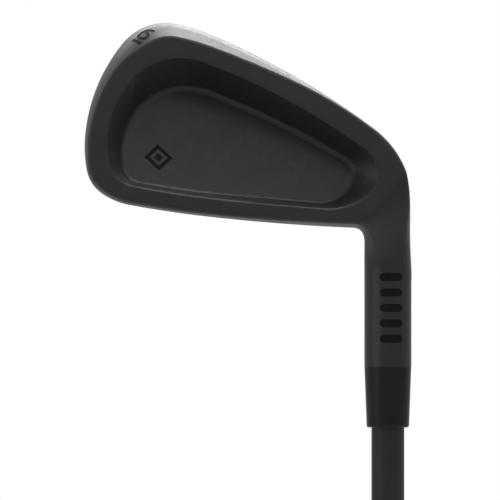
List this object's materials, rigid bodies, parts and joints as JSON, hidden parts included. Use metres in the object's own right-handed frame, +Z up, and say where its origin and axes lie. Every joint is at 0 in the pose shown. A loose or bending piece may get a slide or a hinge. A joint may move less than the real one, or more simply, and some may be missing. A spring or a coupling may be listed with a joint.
{
  "type": "golf iron",
  "caption": "Right-handed cavity-back golf iron with a lofted face, round hosel, stepped ferrule, tapered shaft and rubber grip.",
  "frame": {"origin": "centre of the butt end of the grip, on the shaft axis, where the vent hole opens", "axes": "+Z up the shaft axis to the head, +Y the target side of the striking face, -X the toe"},
  "size_m": [0.1005, 0.0433, 0.9819],
  "materials": {
    "head": "matte black coating over bead-blasted steel",
    "ferrule": "satin black plastic",
    "shaft": "black painted carbon composite",
    "epoxy_bond": "cured epoxy",
    "tip_weight": "turned brass",
    "grip_tape": "paper tape",
    "grip_sleeve": "moulded rubber with a fine texture",
    "grip_cap": "moulded rubber",
    "number_fill": "black paint",
    "hosel_mark_fill": "black paint",
    "cavity_mark_fill": "black paint"
  },
  "bodies": {
    "root": {"head": "head", "ferrule": "ferrule", "shaft": "shaft", "epoxy_bond": "epoxy_bond", "tip_weight": "tip_weight", "grip_tape": "grip_tape", "grip_sleeve": "grip_sleeve", "grip_cap": "grip_cap", "number_fill": "number_fill", "hosel_mark_fill": "hosel_mark_fill", "cavity_mark_fill": "cavity_mark_fill"}
  },
  "joints": []
}
